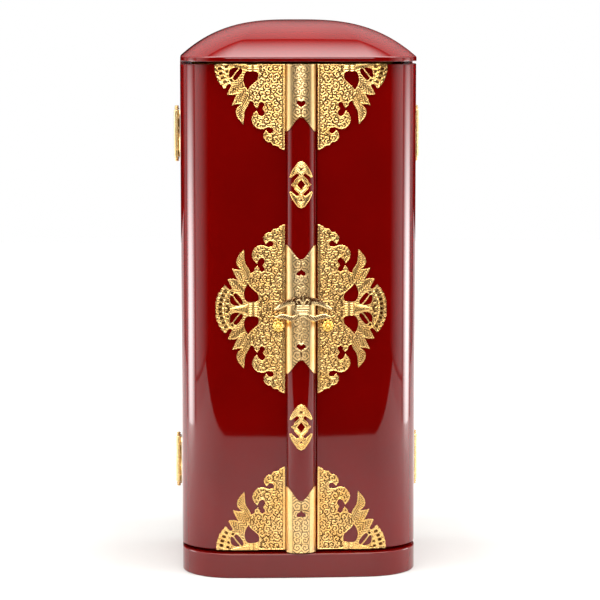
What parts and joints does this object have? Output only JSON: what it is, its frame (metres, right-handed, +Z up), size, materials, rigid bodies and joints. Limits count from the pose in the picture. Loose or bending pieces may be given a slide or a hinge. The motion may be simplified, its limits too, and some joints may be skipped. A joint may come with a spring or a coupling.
{
  "type": "portable shrine",
  "caption": "Upright lacquered cabinet shrine with a domed roof, bowed base, curved hinged doors, a seam strip, gilt fittings, knobs and a swinging latch.",
  "frame": {"origin": "centre of the base's underside, on the surface that it stands on", "axes": "+Z up, the doors face -Y, +X to the viewer's right"},
  "size_m": [0.204, 0.164, 0.454],
  "materials": {
    "vermilion_lacquer": "high gloss vermilion lacquer on wood, gold leaf inside",
    "gilt_brass": "chased and gilded sheet brass"
  },
  "bodies": {
    "cabinet": {"back_board": "vermilion_lacquer", "base": "vermilion_lacquer", "hinge_fixed_leaf_left_bottom": "gilt_brass", "hinge_fixed_leaf_left_top": "gilt_brass", "hinge_fixed_leaf_right_bottom": "gilt_brass", "hinge_fixed_leaf_right_top": "gilt_brass", "hinge_pin_left_bottom": "gilt_brass", "hinge_pin_left_top": "gilt_brass", "hinge_pin_right_bottom": "gilt_brass", "hinge_pin_right_top": "gilt_brass", "roof": "vermilion_lacquer", "side_board_left": "vermilion_lacquer", "side_board_right": "vermilion_lacquer"},
    "left_door": {"centre_strip": "vermilion_lacquer", "door_panel_left": "vermilion_lacquer", "door_plate_left_bottom": "gilt_brass", "door_plate_left_middle": "gilt_brass", "door_plate_left_top": "gilt_brass", "hinge_door_leaf_left_bottom": "gilt_brass", "hinge_door_leaf_left_top": "gilt_brass", "knob_left": "gilt_brass", "strip_fitting_bottom": "gilt_brass", "strip_fitting_middle": "gilt_brass", "strip_fitting_top": "gilt_brass", "strip_ornament_lower": "gilt_brass", "strip_ornament_upper": "gilt_brass"},
    "right_door": {"door_panel_right": "vermilion_lacquer", "door_plate_right_bottom": "gilt_brass", "door_plate_right_middle": "gilt_brass", "door_plate_right_top": "gilt_brass", "hinge_door_leaf_right_bottom": "gilt_brass", "hinge_door_leaf_right_top": "gilt_brass", "knob_right": "gilt_brass"},
    "latch": {"latch": "gilt_brass"}
  },
  "joints": [
    {"name": "left_door_hinge", "type": "hinge", "parent": "cabinet", "child": "left_door", "pos_m": [-0.0995, -0.002, 0.22], "axis": [0, 0, -1], "range_deg": [0, 160]},
    {"name": "right_door_hinge", "type": "hinge", "parent": "cabinet", "child": "right_door", "pos_m": [0.0995, -0.002, 0.22], "axis": [0, 0, 1], "range_deg": [0, 160]},
    {"name": "latch_turn", "type": "hinge", "parent": "left_door", "child": "latch", "pos_m": [-0.01865, -0.0795, 0.208], "axis": [0, -1, 0], "range_deg": [0, 85]}
  ]
}
